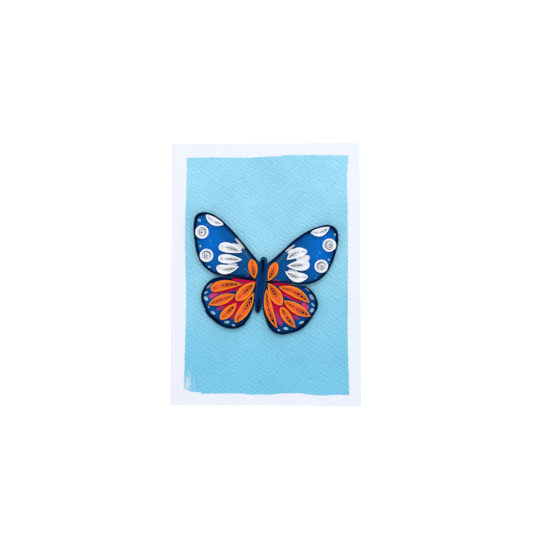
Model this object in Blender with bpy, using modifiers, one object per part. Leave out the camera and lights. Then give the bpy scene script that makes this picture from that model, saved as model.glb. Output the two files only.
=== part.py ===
"""A quilled paper butterfly on a painted watercolour card, lying flat with the picture up.

The middle of the card's underside is at the origin, +X is the picture's right and +Y its top. The picture is
built up as it is made by hand: washes of paint on the card, then strips of paper that stand on their edge.
A strip bent round a wing is its edging. A strip rolled up and let out is a coil, and a coil pinched at one
end or both is a teardrop, a half moon or a petal. Each strip is one solid, from its outer end to its eye.
"""

import math

import bpy

# Card and paint, in metres
CARD_WIDTH = 0.130
CARD_HEIGHT = 0.180
CARD_THICKNESS = 0.0005
SKY_WIDTH = 0.1124
SKY_HEIGHT = 0.1632
SKY_X = 0.0004
SKY_Y = -0.0003
PAINT_THICKNESS = 0.00008
PAINT_GAP = 0.00002

# Paper strips
STRIP_HEIGHT = 0.003
STRIP_THICKNESS = 0.0003
EDGING_THICKNESS = 0.0009
ROUND_COIL_DIAMETER = 0.0091
COIL_CLEARANCE = 0.0002
GLUE_GAP = 0.00002

# The butterfly's place on the card. Its own frame has the waist at the origin and the head towards +Y.
WING_SPAN = 0.099
WAIST_X = -0.0030
WAIST_Y = -0.0054
BUTTERFLY_TILT = math.radians(-5)

# Layers of paint on the card, counted up from it. The strips stand on the last.
SKY_LAYER = 1
HINDWING_LAYER = 2
FOREWING_LAYER = 3
FAN_LAYER = 3

# How finely the curves are cut
POINTS_BETWEEN_HANDLES = 3
STEPS_PER_PINCHED_TURN = 12
STEPS_PER_ROUND_TURN = 14

# How a strip is wound. The first part of its first turn is the full outline, and from there it closes in on
# its eye.
PINCHED_OUTLINE_SHARE = 0.72
ROUND_OUTLINE_SHARE = 0.60
PINCHED_EYE_SHARE = 0.26
ROUND_EYE_SHARE = 0.18
ROUND_TURNS = 3.5

# Each way to pinch a coil: its turns, how sharp its tip and its tail are (0 is round, 1 is a point) and how
# far its eye lies from its tail, as a share of its length
PINCHES_SHARES = {
    "teardrop": (3.5, 1.0, -0.15, 0.18),
    "petal": (3.5, 1.0, 0.4, 0.30),
    "leaf": (3.5, 1.0, 1.0, 0.40),
    "half_moon": (3.5, 0.9, 0.7, 0.45),
    "body": (4.0, -0.2, -0.4, 0.62),
}

# Colours as sRGB shares, and roughness
PAPER_COLOUR_SHARES = {
    "card": (0.94, 0.95, 0.98),
    "navy": (0.03, 0.11, 0.25),
    "orange": (0.98, 0.50, 0.12),
    "white": (0.93, 0.94, 0.98),
}
PAINT_COLOUR_SHARES = {
    "sky_blue": (0.56, 0.82, 0.94),
    "wing_blue": (0.02, 0.33, 0.63),
    "crimson": (0.77, 0.14, 0.28),
}
PAPER_ROUGHNESS_SHARE = 0.85
PAINT_ROUGHNESS_SHARE = 0.70

# The sky's hand-painted edge, in shares of its width and height, from its lower left corner
SKY_EDGE_SHARES = (
    (-0.498, -0.481), (-0.461, -0.491), (-0.400, -0.495), (-0.385, -0.501), (-0.267, -0.499),
    (-0.158, -0.499), (-0.098, -0.504), (0.023, -0.503), (0.095, -0.498), (0.204, -0.498),
    (0.276, -0.504), (0.354, -0.507), (0.421, -0.503), (0.500, -0.504), (0.493, -0.236),
    (0.497, 0.015), (0.499, 0.288), (0.494, 0.411), (0.505, 0.499), (0.147, 0.502),
    (0.073, 0.497), (-0.025, 0.494), (-0.099, 0.490), (-0.314, 0.493), (-0.487, 0.492),
    (-0.491, 0.354), (-0.497, 0.163), (-0.488, -0.127), (-0.493, -0.299),
)

# The wings' edgings, in shares of the wing span, anticlockwise so that the paper's thickness is on the left
WING_EDGE_SHARES = {
    "left_forewing": (
        (-0.038, 0.141), (-0.131, 0.237), (-0.245, 0.346), (-0.355, 0.424), (-0.426, 0.440),
        (-0.483, 0.418), (-0.497, 0.351), (-0.483, 0.248), (-0.439, 0.114), (-0.372, 0.044),
        (-0.283, 0.012), (-0.180, 0.013), (-0.063, 0.013),
    ),
    "right_forewing": (
        (0.072, -0.003), (0.165, -0.001), (0.288, 0.000), (0.369, 0.023), (0.433, 0.079),
        (0.470, 0.147), (0.494, 0.235), (0.504, 0.333), (0.484, 0.400), (0.435, 0.424),
        (0.371, 0.411), (0.305, 0.379), (0.208, 0.306), (0.113, 0.204), (0.046, 0.136),
    ),
    "left_hindwing": (
        (-0.200, 0.006), (-0.255, 0.006), (-0.310, -0.003), (-0.356, -0.032), (-0.392, -0.092),
        (-0.401, -0.145), (-0.367, -0.223), (-0.328, -0.276), (-0.234, -0.334), (-0.176, -0.344),
        (-0.115, -0.328), (-0.070, -0.280), (-0.044, -0.216), (-0.034, -0.171),
    ),
    "right_hindwing": (
        (0.027, -0.168), (0.032, -0.200), (0.055, -0.262), (0.096, -0.327), (0.161, -0.353),
        (0.228, -0.339), (0.294, -0.310), (0.346, -0.257), (0.380, -0.198), (0.403, -0.136),
        (0.386, -0.079), (0.350, -0.034), (0.298, -0.006),
    ),
}

# Where each wing's paint runs on past the ends of its edging, to the body
WING_ROOT_SHARES = {
    "left_forewing": ((-0.025, 0.012), (-0.018, 0.129)),
    "right_forewing": ((0.024, 0.119), (0.045, -0.003)),
    "left_hindwing": ((-0.025, -0.105), (-0.031, 0.004), (-0.111, 0.005)),
    "right_hindwing": ((0.166, -0.008), (0.036, -0.016), (0.028, -0.087)),
}

# The crimson strokes that fan out from each hindwing's root, in shares of the wing span
FAN_SHARES = {
    "left_hindwing": (
        (-0.052, 0.006), (-0.120, 0.008), (-0.193, 0.007), (-0.205, -0.006), (-0.158, -0.027),
        (-0.115, -0.041), (-0.203, -0.073), (-0.287, -0.096), (-0.283, -0.107), (-0.180, -0.095),
        (-0.164, -0.118), (-0.151, -0.144), (-0.221, -0.178), (-0.287, -0.214), (-0.286, -0.229),
        (-0.252, -0.222), (-0.153, -0.165), (-0.143, -0.154), (-0.161, -0.228), (-0.183, -0.275),
        (-0.166, -0.283), (-0.119, -0.197), (-0.086, -0.132), (-0.057, -0.067),
    ),
    "right_hindwing": (
        (0.060, -0.064), (0.079, -0.124), (0.103, -0.164), (0.123, -0.224), (0.141, -0.281),
        (0.163, -0.291), (0.174, -0.275), (0.157, -0.228), (0.144, -0.153), (0.173, -0.164),
        (0.248, -0.234), (0.276, -0.243), (0.278, -0.228), (0.222, -0.181), (0.167, -0.134),
        (0.161, -0.103), (0.217, -0.111), (0.279, -0.119), (0.282, -0.110), (0.229, -0.091),
        (0.164, -0.068), (0.127, -0.034), (0.205, -0.020), (0.208, -0.009), (0.173, -0.005),
        (0.090, -0.008), (0.049, -0.016),
    ),
}

# Pinched coils: name, pinch, paper, tail, tip, width, and how far the middle bows to the left of the way from
# tail to tip. Places and widths are shares of the wing span.
PINCHED_COIL_SHARES = (
    ("body_coil", "body", "navy", (0.007, 0.168), (-0.006, -0.224), 0.070, 0.001),
    ("left_thorax_coil", "petal", "orange", (-0.078, 0.145), (-0.045, 0.010), 0.064, 0.0),
    ("right_thorax_coil", "petal", "orange", (0.093, 0.137), (0.050, 0.003), 0.066, 0.002),
    ("left_forewing_half_moon", "half_moon", "white", (-0.421, 0.423), (-0.290, 0.366), 0.055, -0.014),
    ("left_forewing_teardrop_upper", "teardrop", "white", (-0.311, 0.212), (-0.145, 0.184), 0.071, 0.008),
    ("left_forewing_teardrop_middle", "teardrop", "white", (-0.308, 0.129), (-0.140, 0.134), 0.064, 0.0),
    ("left_forewing_teardrop_lower", "teardrop", "white", (-0.314, 0.061), (-0.159, 0.087), 0.067, -0.015),
    ("right_forewing_half_moon", "half_moon", "white", (0.310, 0.360), (0.439, 0.410), 0.058, -0.016),
    ("right_forewing_teardrop_upper", "petal", "white", (0.298, 0.233), (0.161, 0.160), 0.069, -0.016),
    ("right_forewing_teardrop_middle", "teardrop", "white", (0.322, 0.142), (0.166, 0.118), 0.076, 0.002),
    ("right_forewing_teardrop_lower", "petal", "white", (0.318, 0.055), (0.157, 0.081), 0.070, 0.020),
    ("left_hindwing_petal_top", "teardrop", "orange", (-0.340, -0.085), (-0.123, -0.036), 0.072, 0.014),
    ("left_hindwing_petal_outer", "leaf", "orange", (-0.166, -0.108), (-0.346, -0.192), 0.070, 0.0),
    ("left_hindwing_petal_lower", "petal", "orange", (-0.256, -0.285), (-0.151, -0.163), 0.067, -0.003),
    ("left_hindwing_petal_inner", "petal", "orange", (-0.154, -0.297), (-0.040, -0.080), 0.073, -0.010),
    ("left_hindwing_petal_centre", "petal", "orange", (-0.160, -0.146), (-0.038, -0.010), 0.085, 0.0),
    ("right_hindwing_petal_top", "leaf", "orange", (0.120, -0.032), (0.345, -0.122), 0.068, 0.021),
    ("right_hindwing_petal_outer", "leaf", "orange", (0.164, -0.120), (0.359, -0.213), 0.073, -0.003),
    ("right_hindwing_petal_lower", "petal", "orange", (0.149, -0.165), (0.263, -0.300), 0.064, -0.006),
    ("right_hindwing_petal_inner", "leaf", "orange", (0.043, -0.046), (0.140, -0.316), 0.058, -0.023),
    ("right_hindwing_petal_centre", "petal", "orange", (0.155, -0.153), (0.050, -0.008), 0.082, 0.0),
)

# Round coils sit against a wing's edging: name, the spot on the edging, and the way from there to the coil's
# middle, in degrees
ROUND_COIL_SHARES = (
    ("left_forewing_round_upper", (-0.493, 0.297), 5),
    ("left_forewing_round_lower", (-0.443, 0.124), 20),
    ("right_forewing_round_upper", (0.502, 0.295), -170),
    ("right_forewing_round_lower", (0.457, 0.118), 162),
)


def linear(colour):
    """Linear values of an sRGB colour."""
    return [c / 12.92 if c <= 0.04045 else ((c + 0.055) / 1.055) ** 2.4 for c in colour]


def make_material(name, colour, roughness):
    material = bpy.data.materials.new(name)
    material.use_nodes = True
    shader = material.node_tree.nodes["Principled BSDF"]
    shader.inputs["Base Color"].default_value = (*linear(colour), 1)
    shader.inputs["Roughness"].default_value = roughness
    shader.inputs["Metallic"].default_value = 0
    return material


def make_materials():
    """One material for each paper and paint."""
    made = {}
    for name, colour in PAPER_COLOUR_SHARES.items():
        made[name] = make_material(name, colour, PAPER_ROUGHNESS_SHARE)
    for name, colour in PAINT_COLOUR_SHARES.items():
        made[name] = make_material(name, colour, PAINT_ROUGHNESS_SHARE)
    return made


def layer_top(layer):
    """Height of the top of a layer of paint."""
    return CARD_THICKNESS + layer * (PAINT_GAP + PAINT_THICKNESS)


def strip_base():
    """Height of the edge that every strip stands on."""
    return layer_top(max(FOREWING_LAYER, FAN_LAYER)) + GLUE_GAP


def spans(point):
    """A place in the butterfly's frame, from its shares of the wing span."""
    return (point[0] * WING_SPAN, point[1] * WING_SPAN)


def place(obj, parent, material, x, y, z, turn=0.0):
    obj.data.materials.append(material)
    obj.parent = parent
    obj.location = (x, y, z)
    obj.rotation_euler.z = turn
    return obj


def add_curve(collection, name, extrude, fill_mode):
    """An empty flat curve that is raised by extrude above and below its plane."""
    data = bpy.data.curves.new(name, "CURVE")
    data.dimensions = "2D"
    data.fill_mode = fill_mode
    data.extrude = extrude
    data.resolution_u = POINTS_BETWEEN_HANDLES
    obj = bpy.data.objects.new(name, data)
    collection.objects.link(obj)
    return obj


def add_polyline(obj, points, closed=False):
    spline = obj.data.splines.new("POLY")
    spline.points.add(len(points) - 1)
    for knot, (x, y) in zip(spline.points, points):
        knot.co = (x, y, 0, 1)
    spline.use_cyclic_u = closed


def add_smooth_line(obj, points, corners=(), closed=False):
    """A smooth curve through the points. It has a straight-sided corner at each index in corners."""
    spline = obj.data.splines.new("BEZIER")
    spline.bezier_points.add(len(points) - 1)
    for index, (knot, (x, y)) in enumerate(zip(spline.bezier_points, points)):
        knot.co = (x, y, 0)
        handle = "VECTOR" if index in corners else "AUTO"
        knot.handle_left_type = handle
        knot.handle_right_type = handle
    spline.use_cyclic_u = closed


def add_paper(obj, thickness):
    """Gives a strip on its edge its thickness, to the left of the way it runs."""
    paper = obj.modifiers.new("Paper", "SOLIDIFY")
    paper.thickness = thickness
    paper.offset = 1
    paper.use_even_offset = True


def make_card(collection, parent, materials):
    bpy.ops.mesh.primitive_cube_add(size=1)
    card = bpy.context.object
    card.name = "backing_card"
    card.scale = (CARD_WIDTH, CARD_HEIGHT, CARD_THICKNESS)
    for home in list(card.users_collection):
        home.objects.unlink(card)
    collection.objects.link(card)
    place(card, parent, materials["card"], 0, 0, CARD_THICKNESS / 2)


def make_paint(collection, parent, name, points, layer, material, corners=(), smooth=True):
    """A flat film of paint inside a closed outline."""
    film = add_curve(collection, name, PAINT_THICKNESS / 2, "BOTH")
    if smooth:
        add_smooth_line(film, points, corners, closed=True)
    else:
        add_polyline(film, points, closed=True)
    place(film, parent, material, 0, 0, layer_top(layer) - PAINT_THICKNESS / 2)


def make_sky(collection, parent, materials):
    points = [(x * SKY_WIDTH + SKY_X, y * SKY_HEIGHT + SKY_Y) for x, y in SKY_EDGE_SHARES]
    make_paint(collection, parent, "sky_wash", points, SKY_LAYER, materials["sky_blue"], smooth=False)


def make_wing(collection, waist, materials, wing):
    """A wing's ground of blue paint and the navy strips bent round its edge."""
    edge = [spans(point) for point in WING_EDGE_SHARES[wing]]
    root = [spans(point) for point in WING_ROOT_SHARES[wing]]
    layer = FOREWING_LAYER if "forewing" in wing else HINDWING_LAYER
    corners = {0, *range(len(edge) - 1, len(edge) + len(root))}
    make_paint(collection, waist, f"{wing}_ground", edge + root, layer, materials["wing_blue"], corners)
    strip = add_curve(collection, f"{wing}_edging", STRIP_HEIGHT / 2, "NONE")
    add_smooth_line(strip, edge)
    add_paper(strip, EDGING_THICKNESS)
    place(strip, waist, materials["navy"], 0, 0, strip_base() + STRIP_HEIGHT / 2)


def make_fan(collection, waist, materials, wing):
    points = [spans(point) for point in FAN_SHARES[wing]]
    make_paint(collection, waist, f"{wing}_fan", points, FAN_LAYER, materials["crimson"], smooth=False)


def closing(turn, turns, outline, eye):
    """A coil's size after this many turns, as a share of its outline. It ends as the share that eye gives."""
    return 1 - (1 - eye) * max(0.0, turn - outline) / (turns - outline)


def pinched_spiral(length, width, bow, pinch):
    """A strip's way from its end at the tip round the coil to the eye. The tail is at the origin."""
    turns, tip, tail, eye_place = PINCHES_SHARES[pinch]
    eye = eye_place * length
    peak = math.sqrt((1 + tip) ** (1 + tip) * (1 + tail) ** (1 + tail) / (2 + tip + tail) ** (2 + tip + tail))
    points = []
    for step in range(round(turns * STEPS_PER_PINCHED_TURN) + 1):
        turn = step / STEPS_PER_PINCHED_TURN
        from_tip = abs(math.sin(math.pi * turn))
        from_tail = abs(math.cos(math.pi * turn))
        side = 1 if turn % 1 < 0.5 else -1
        half_width = side * width / 2 * from_tip ** (1 + tip) * from_tail ** (1 + tail) / peak
        size = closing(turn, turns, PINCHED_OUTLINE_SHARE, PINCHED_EYE_SHARE)
        x = eye + size * (length * from_tail**2 - eye)
        y = size * half_width + 4 * bow * x * (length - x) / length**2
        points.append((x, y))
    return points


def make_pinched_coil(collection, waist, materials, row):
    name, pinch, paper, tail, tip, width, bow = row
    start = spans(tail)
    end = spans(tip)
    length = math.dist(start, end)
    coil = add_curve(collection, name, STRIP_HEIGHT / 2, "NONE")
    add_polyline(coil, pinched_spiral(length, width * WING_SPAN, bow * WING_SPAN, pinch))
    add_paper(coil, STRIP_THICKNESS)
    turn = math.atan2(end[1] - start[1], end[0] - start[0])
    place(coil, waist, materials[paper], *start, strip_base() + STRIP_HEIGHT / 2, turn)


def round_spiral(diameter):
    """A strip's way from its outer end round the coil to the eye, about the origin."""
    points = []
    for step in range(round(ROUND_TURNS * STEPS_PER_ROUND_TURN) + 1):
        turn = step / STEPS_PER_ROUND_TURN
        radius = diameter / 2 * closing(turn, ROUND_TURNS, ROUND_OUTLINE_SHARE, ROUND_EYE_SHARE)
        angle = 2 * math.pi * turn
        points.append((radius * math.cos(angle), radius * math.sin(angle)))
    return points


def make_round_coil(collection, waist, materials, row):
    """A coil let out to one size and seated against the edging's inner face, its outer end turned away."""
    name, spot, way = row
    angle = math.radians(way)
    x, y = spans(spot)
    reach = EDGING_THICKNESS + COIL_CLEARANCE + ROUND_COIL_DIAMETER / 2
    coil = add_curve(collection, name, STRIP_HEIGHT / 2, "NONE")
    add_polyline(coil, round_spiral(ROUND_COIL_DIAMETER))
    add_paper(coil, STRIP_THICKNESS)
    centre = (x + reach * math.cos(angle), y + reach * math.sin(angle))
    place(coil, waist, materials["white"], *centre, strip_base() + STRIP_HEIGHT / 2, angle)


def make_frame(collection, name, parent=None, x=0.0, y=0.0, turn=0.0):
    """An empty that its pieces hang from."""
    frame = bpy.data.objects.new(name, None)
    collection.objects.link(frame)
    frame.parent = parent
    frame.location = (x, y, 0)
    frame.rotation_euler.z = turn
    return frame


def main():
    for obj in list(bpy.data.objects):
        bpy.data.objects.remove(obj)
    collection = bpy.data.collections.new("quilled_butterfly")
    bpy.context.scene.collection.children.link(collection)
    materials = make_materials()
    picture = make_frame(collection, "picture")
    waist = make_frame(collection, "waist", picture, WAIST_X, WAIST_Y, BUTTERFLY_TILT)
    make_card(collection, picture, materials)
    make_sky(collection, picture, materials)
    for wing in WING_EDGE_SHARES:
        make_wing(collection, waist, materials, wing)
    for wing in FAN_SHARES:
        make_fan(collection, waist, materials, wing)
    for row in PINCHED_COIL_SHARES:
        make_pinched_coil(collection, waist, materials, row)
    for row in ROUND_COIL_SHARES:
        make_round_coil(collection, waist, materials, row)


main()
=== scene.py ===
"""The looks of a quilled paper butterfly on a painted watercolour card.

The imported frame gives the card, the areas of paint and the coils at their real size. Each is dressed here: the
card and the sky get their cold-pressed grain, the wings their brush strokes and dabs, each edging its layers
and each coil its fine turns of paper. A strip is made as by hand: a flat grid is rolled along its way and given
the paper's thickness.
"""

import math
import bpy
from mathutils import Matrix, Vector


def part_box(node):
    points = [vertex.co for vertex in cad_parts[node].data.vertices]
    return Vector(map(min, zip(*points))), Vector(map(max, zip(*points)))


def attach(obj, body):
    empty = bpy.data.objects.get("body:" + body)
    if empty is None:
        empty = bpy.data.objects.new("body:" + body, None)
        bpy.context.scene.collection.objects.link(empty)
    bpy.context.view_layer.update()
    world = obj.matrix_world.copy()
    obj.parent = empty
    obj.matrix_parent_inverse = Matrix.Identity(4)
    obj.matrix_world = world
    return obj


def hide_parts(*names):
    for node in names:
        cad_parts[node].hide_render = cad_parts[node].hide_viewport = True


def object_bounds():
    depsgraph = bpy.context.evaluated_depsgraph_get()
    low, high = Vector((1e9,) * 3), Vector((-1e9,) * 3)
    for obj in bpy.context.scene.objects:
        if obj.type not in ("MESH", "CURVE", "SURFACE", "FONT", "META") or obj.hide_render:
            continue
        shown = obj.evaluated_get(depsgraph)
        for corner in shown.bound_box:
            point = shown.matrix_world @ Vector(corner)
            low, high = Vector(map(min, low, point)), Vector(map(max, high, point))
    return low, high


bl_info = {
    "name": "Quilled Paper Butterfly",
    "version": (1, 0, 0),
    "blender": (4, 5, 0),
    "location": "View3D > Sidebar > Quilling",
    "description": "Dresses a quilled butterfly with grained card, paint and rolled strips of paper",
    "category": "Add Mesh",
}

import bpy
from bpy.props import FloatProperty, FloatVectorProperty, PointerProperty
from mathutils import Matrix, Vector, noise

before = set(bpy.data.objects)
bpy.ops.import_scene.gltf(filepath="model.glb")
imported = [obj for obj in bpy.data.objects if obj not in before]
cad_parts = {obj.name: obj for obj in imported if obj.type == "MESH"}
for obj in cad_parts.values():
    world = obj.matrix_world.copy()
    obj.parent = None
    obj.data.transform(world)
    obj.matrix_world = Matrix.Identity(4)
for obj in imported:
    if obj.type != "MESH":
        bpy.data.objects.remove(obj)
CAD_LOW, CAD_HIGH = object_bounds()
BODY = "root"
MM = 0.001

# The butterfly's place on the card, in metres. Its own frame has the waist at the origin and the head to +Y.
WING_SPAN = 0.099
WAIST_X = -0.0030
WAIST_Y = -0.0054
BUTTERFLY_TILT = math.radians(-5)
WAIST = Matrix.Translation((WAIST_X, WAIST_Y, 0)) @ Matrix.Rotation(BUTTERFLY_TILT, 4, "Z")

# The wings, in the order they are made
WINGS = ("left_forewing", "right_forewing", "left_hindwing", "right_hindwing")

# Heights of the layers, from the frame
CARD_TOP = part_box("backing_card")[1].z
SKY_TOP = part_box("sky_wash")[1].z
GROUND_TOPS = {wing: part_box(f"{wing}_ground")[1].z for wing in WINGS}
STRIP_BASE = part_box("body_coil")[0].z
STRIP_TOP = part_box("body_coil")[1].z

# Cold-pressed grain: two sets of felt ridges that wander and cross, bolder in some patches than in others, and
# the tooth of the paper between them. All of it is a little bolder towards the card's lower edge.
RIDGE_WAYS = (math.radians(53), math.radians(120))
RIDGE_WEIGHTS_SHARES = (0.95, 0.45)
RIDGE_EVEN_SHARE = 0.75
RIDGE_PATCHY_SHARE = 1.5
RIDGE_WANDER = 6 * MM
RIDGE_WANDER_SHARE = 0.6
PATCH_SIZE = 3.0 * MM
TOOTH_SIZE = 1.3 * MM
TOOTH_SHARE = 1.0
GRAIN_CONTRAST = 0.9
GRAIN_LEAN_SHARE = 0.20
# The grain's depth is kept on the card and the sky under this name; their colours darken in the valleys with it:
# painted shade, and on the sky also pigment gathered there
GRAIN_ATTRIBUTE = "valley"

# The card's and the sky's meshes, the card's worn edge and the sky's ragged one
CARD_GRID_STEP = 0.55 * MM
SKY_GRID_STEP = 0.58 * MM
SHEET_SMOOTH_ANGLE = math.radians(50)
CARD_EDGE_WEAR = 0.04 * MM
SKY_EDGE_RAGGED = 0.28 * MM
SKY_EDGE_REACH = 2.5 * MM
SKY_EDGE_RIPPLE = 1.6 * MM

# The sky's hand-painted edge, in shares of its width and height: each side runs to +X or to +Y
SKY_SIDES_SHARES = {
    "bottom": (
        (-0.498, -0.481), (-0.461, -0.491), (-0.400, -0.495), (-0.385, -0.501), (-0.267, -0.499),
        (-0.158, -0.499), (-0.098, -0.504), (0.023, -0.503), (0.095, -0.498), (0.204, -0.498),
        (0.276, -0.504), (0.354, -0.507), (0.421, -0.503), (0.500, -0.504),
    ),
    "top": (
        (-0.487, 0.492), (-0.314, 0.493), (-0.099, 0.490), (-0.025, 0.494), (0.073, 0.497),
        (0.147, 0.502), (0.505, 0.499),
    ),
    "left": (
        (-0.498, -0.481), (-0.493, -0.299), (-0.488, -0.127), (-0.497, 0.163), (-0.491, 0.354),
        (-0.487, 0.492),
    ),
    "right": (
        (0.500, -0.504), (0.493, -0.236), (0.497, 0.015), (0.499, 0.288), (0.494, 0.411),
        (0.505, 0.499),
    ),
}
SKY_WIDTH = 0.1124
SKY_HEIGHT = 0.1632
SKY_X = 0.0004
SKY_Y = -0.0003

# Where a nearly dry brush has left the card bare, and how far that reaches each way
DRY_CORNER = (-0.0538, -0.0754)
DRY_REACH = (6.5 * MM, 11 * MM, 1)

# The wings' edgings, in shares of the wing span, anticlockwise
WING_EDGE_SHARES = {
    "left_forewing": (
        (-0.038, 0.141), (-0.131, 0.237), (-0.245, 0.346), (-0.355, 0.424), (-0.426, 0.440),
        (-0.483, 0.418), (-0.497, 0.351), (-0.483, 0.248), (-0.439, 0.114), (-0.372, 0.044),
        (-0.283, 0.012), (-0.180, 0.013), (-0.063, 0.013),
    ),
    "right_forewing": (
        (0.072, -0.003), (0.165, -0.001), (0.288, 0.000), (0.369, 0.023), (0.433, 0.079),
        (0.470, 0.147), (0.494, 0.235), (0.504, 0.333), (0.484, 0.400), (0.435, 0.424),
        (0.371, 0.411), (0.305, 0.379), (0.208, 0.306), (0.113, 0.204), (0.046, 0.136),
    ),
    "left_hindwing": (
        (-0.200, 0.006), (-0.255, 0.006), (-0.310, -0.003), (-0.356, -0.032), (-0.392, -0.092),
        (-0.401, -0.145), (-0.367, -0.223), (-0.328, -0.276), (-0.234, -0.334), (-0.176, -0.344),
        (-0.115, -0.328), (-0.070, -0.280), (-0.044, -0.216), (-0.034, -0.171),
    ),
    "right_hindwing": (
        (0.027, -0.168), (0.032, -0.200), (0.055, -0.262), (0.096, -0.327), (0.161, -0.353),
        (0.228, -0.339), (0.294, -0.310), (0.346, -0.257), (0.380, -0.198), (0.403, -0.136),
        (0.386, -0.079), (0.350, -0.034), (0.298, -0.006),
    ),
}
EDGE_POINTS_BETWEEN_HANDLES = 10

# An edging's layers: how much painted shade darkens each one's edge, the air between them, and how unevenly
# their tops stand
EDGING_LAYERS = 4
EDGING_THICKNESS = 0.9 * MM
EDGING_SHADES_SHARES = (0.25, 0.12, 0.25, 0.20)
EDGING_AIR = 0.03 * MM
LAYER_WANDER = 0.05 * MM
LAYER_STEP = 0.09 * MM
LAYER_WAVE = 6 * MM

# Where an edging's inner layers stand away from its outer ones: how far along the edging as a share of its way,
# half the stretch's length as a share, and how far in, in metres
EDGING_SPREADS = {
    "left_forewing": ((0.46, 0.05, 0.5 * MM), (0.61, 0.035, 0.6 * MM), (0.73, 0.05, 0.5 * MM)),
    "right_forewing": ((0.28, 0.05, 0.5 * MM), (0.43, 0.035, 0.5 * MM), (0.60, 0.05, 0.6 * MM)),
    "left_hindwing": ((0.20, 0.08, 0.4 * MM), (0.56, 0.07, 1.5 * MM), (0.72, 0.07, 0.7 * MM)),
    "right_hindwing": ((0.30, 0.08, 0.4 * MM), (0.52, 0.08, 1.4 * MM), (0.80, 0.08, 0.4 * MM)),
}

# How a coil is wound. Its outer turns lie packed, and past them the air along its sides depends on the paper.
# At the pinched ends the turns stand apart two by two, so that a row of small holes runs along the coil's axis.
# The body is wound round a long, narrow eye of its own.
STEPS_PER_TURN = 44
STRIP_SMOOTH_ANGLE = math.radians(40)
PAPER_SHARES = {"navy": 1.25, "orange": 1.25, "white": 1.0}
PACKED_AIR_SHARE = 0.04
LOOSE_AIR_SHARES = {"navy": 0.45, "orange": 0.18, "white": 0.04}
SPACING_JITTER_SHARE = 0.70
EYE_SIZE = 0.25 * MM
BODY_EYE_SIZE = 0.16 * MM
BODY_EYE_REACH = 6.5 * MM
# How much of the inner turns' painted shade the body gets; this also scales how far the body's middle sinks
BODY_SHADE_SHARE = 0.05

# A pinched end: how much of the way to it the sides taper along, from where on a tail counts as sharp, how
# tightly the paper is folded there, first in the outer turn and then in the innermost one, and how much of a
# turn's reach the fold may take
TAPER_SHARE = 0.42
SHARP_TAIL_SHARE = 0.5
HAIRPIN_RADIUS = 0.10 * MM
INNER_HAIRPIN_RADIUS = 0.30 * MM
HAIRPIN_LIMIT_SHARE = 0.5

# A coil's upper side: how uneven it is, and how far its middle has sunk
STRIP_WAVE = 5 * MM
TOP_UNEVEN = 0.07 * MM
INNER_DROP = 0.12 * MM
# The name under which each strip keeps how much painted shade darkens the edges of its inner turns
INNER_SHADE_ATTRIBUTE = "wound"

# Each way to pinch a coil: how sharp its tip and its tail are (0 is round, 1 is a point), first for the outer
# turn and then for the innermost one
PINCHES_SHARES = {
    "teardrop": (1.0, -0.15, 0.1, -0.15),
    "petal": (1.0, 0.4, 0.15, 0),
    "leaf": (1.0, 1.0, 0.2, 0.2),
    "half_moon": (0.9, 0.7, 0.3, 0.2),
    "body": (-0.25, -0.45, -0.6, -0.6),
}

# Pinched coils: name, pinch, paper, tail, tip, width, and how far the middle bows to the left of the way from
# tail to tip. Places and widths are shares of the wing span.
PINCHED_COIL_SHARES = (
    ("body_coil", "body", "navy", (0.007, 0.168), (-0.006, -0.224), 0.070, 0.001),
    ("left_thorax_coil", "petal", "orange", (-0.078, 0.145), (-0.045, 0.010), 0.064, 0),
    ("right_thorax_coil", "petal", "orange", (0.093, 0.137), (0.050, 0.003), 0.066, 0.002),
    ("left_forewing_half_moon", "half_moon", "white", (-0.421, 0.423), (-0.290, 0.366), 0.055, -0.014),
    ("left_forewing_teardrop_upper", "teardrop", "white", (-0.311, 0.212), (-0.145, 0.184), 0.071, 0.008),
    ("left_forewing_teardrop_middle", "teardrop", "white", (-0.308, 0.129), (-0.140, 0.134), 0.064, 0),
    ("left_forewing_teardrop_lower", "teardrop", "white", (-0.314, 0.061), (-0.159, 0.087), 0.067, -0.015),
    ("right_forewing_half_moon", "half_moon", "white", (0.310, 0.360), (0.439, 0.410), 0.058, -0.016),
    ("right_forewing_teardrop_upper", "petal", "white", (0.298, 0.233), (0.161, 0.160), 0.069, -0.016),
    ("right_forewing_teardrop_middle", "teardrop", "white", (0.322, 0.142), (0.166, 0.118), 0.076, 0.002),
    ("right_forewing_teardrop_lower", "petal", "white", (0.318, 0.055), (0.157, 0.081), 0.070, 0.020),
    ("left_hindwing_petal_top", "teardrop", "orange", (-0.340, -0.085), (-0.123, -0.036), 0.072, 0.014),
    ("left_hindwing_petal_outer", "leaf", "orange", (-0.166, -0.108), (-0.346, -0.192), 0.070, 0),
    ("left_hindwing_petal_lower", "petal", "orange", (-0.256, -0.285), (-0.151, -0.163), 0.067, -0.003),
    ("left_hindwing_petal_inner", "petal", "orange", (-0.154, -0.297), (-0.040, -0.080), 0.073, -0.010),
    ("left_hindwing_petal_centre", "petal", "orange", (-0.160, -0.146), (-0.038, -0.010), 0.085, 0),
    ("right_hindwing_petal_top", "leaf", "orange", (0.120, -0.032), (0.345, -0.122), 0.068, 0.021),
    ("right_hindwing_petal_outer", "leaf", "orange", (0.164, -0.120), (0.359, -0.213), 0.073, -0.003),
    ("right_hindwing_petal_lower", "petal", "orange", (0.149, -0.165), (0.263, -0.300), 0.064, -0.006),
    ("right_hindwing_petal_inner", "leaf", "orange", (0.043, -0.046), (0.140, -0.316), 0.058, -0.023),
    ("right_hindwing_petal_centre", "petal", "orange", (0.155, -0.153), (0.050, -0.008), 0.082, 0),
)

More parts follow.
